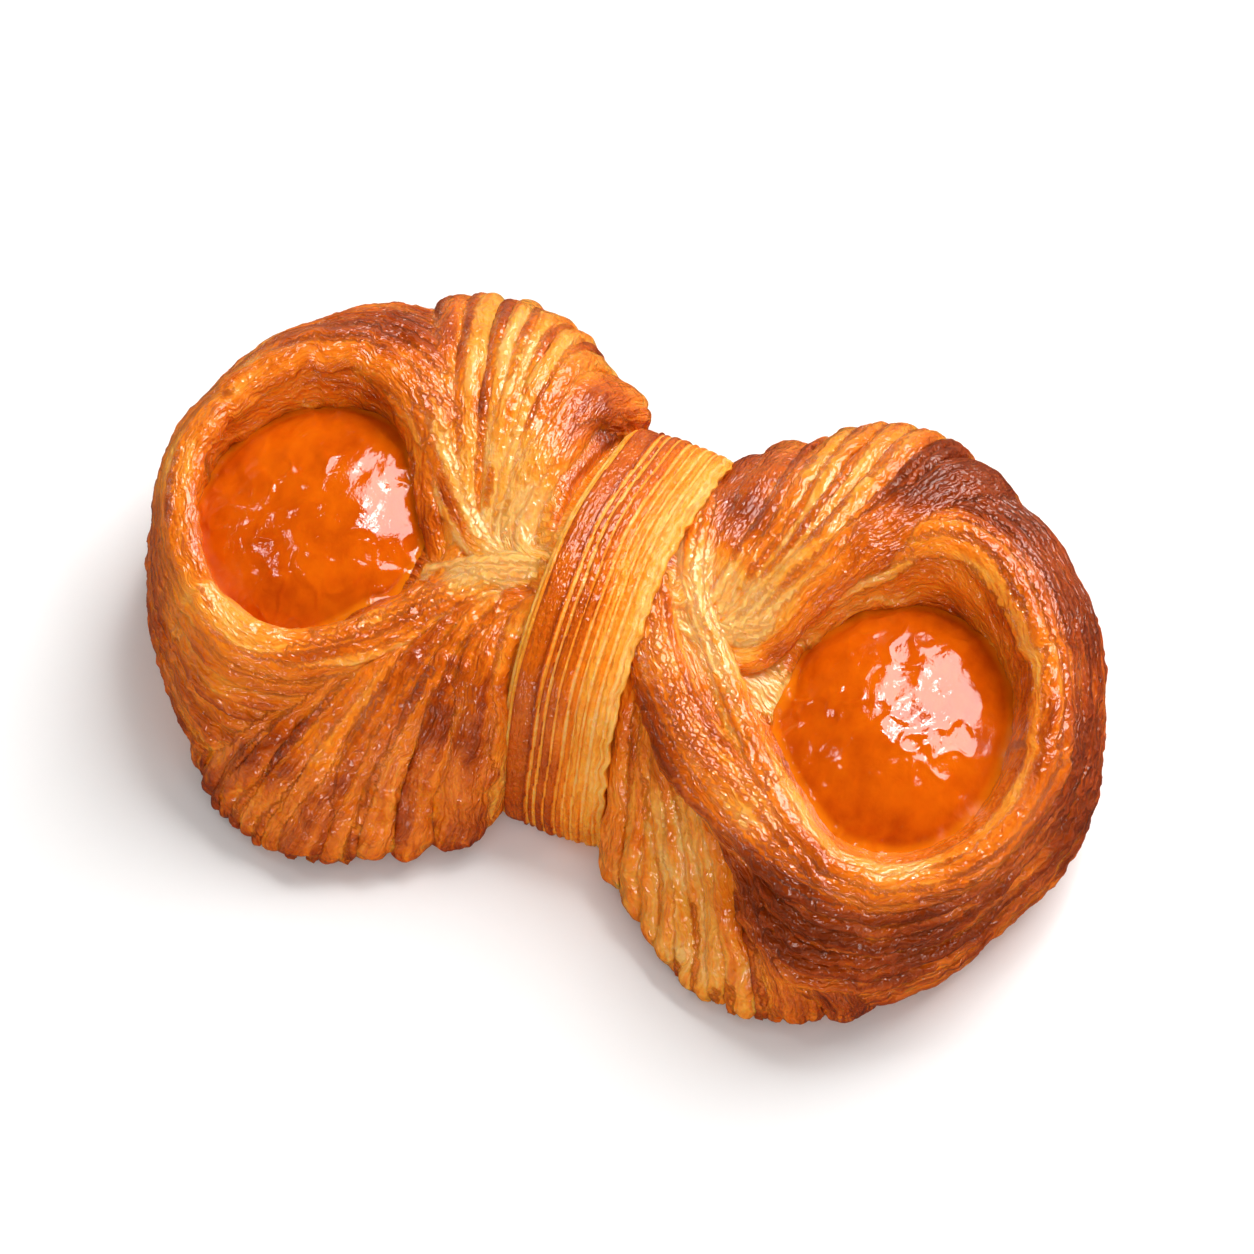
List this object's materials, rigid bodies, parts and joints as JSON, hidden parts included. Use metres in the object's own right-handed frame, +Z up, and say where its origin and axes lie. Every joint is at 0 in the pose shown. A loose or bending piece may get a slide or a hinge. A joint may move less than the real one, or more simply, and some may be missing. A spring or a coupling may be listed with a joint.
{
  "type": "bow-tie croissant with apricot halves",
  "caption": "Laminated croissant dough folded into a bow, gathered at the waist by a strip of dough, with a glazed apricot half baked into the round pocket at each end.",
  "frame": {"origin": "middle of the flat base, directly under the centre of the bounding box", "axes": "+X along the bow towards the larger lobe, +Y to the taller back edge, +Z up out of the pockets"},
  "size_m": [0.1574, 0.1004, 0.0401],
  "materials": {
    "baked_dough": "satin",
    "baked_strip": "satin",
    "glazed_fruit": "gloss"
  },
  "bodies": {
    "root": {"pastry_body": "baked_dough", "waist_band": "baked_strip", "apricot_half_left": "glazed_fruit", "apricot_half_right": "glazed_fruit"}
  },
  "joints": []
}
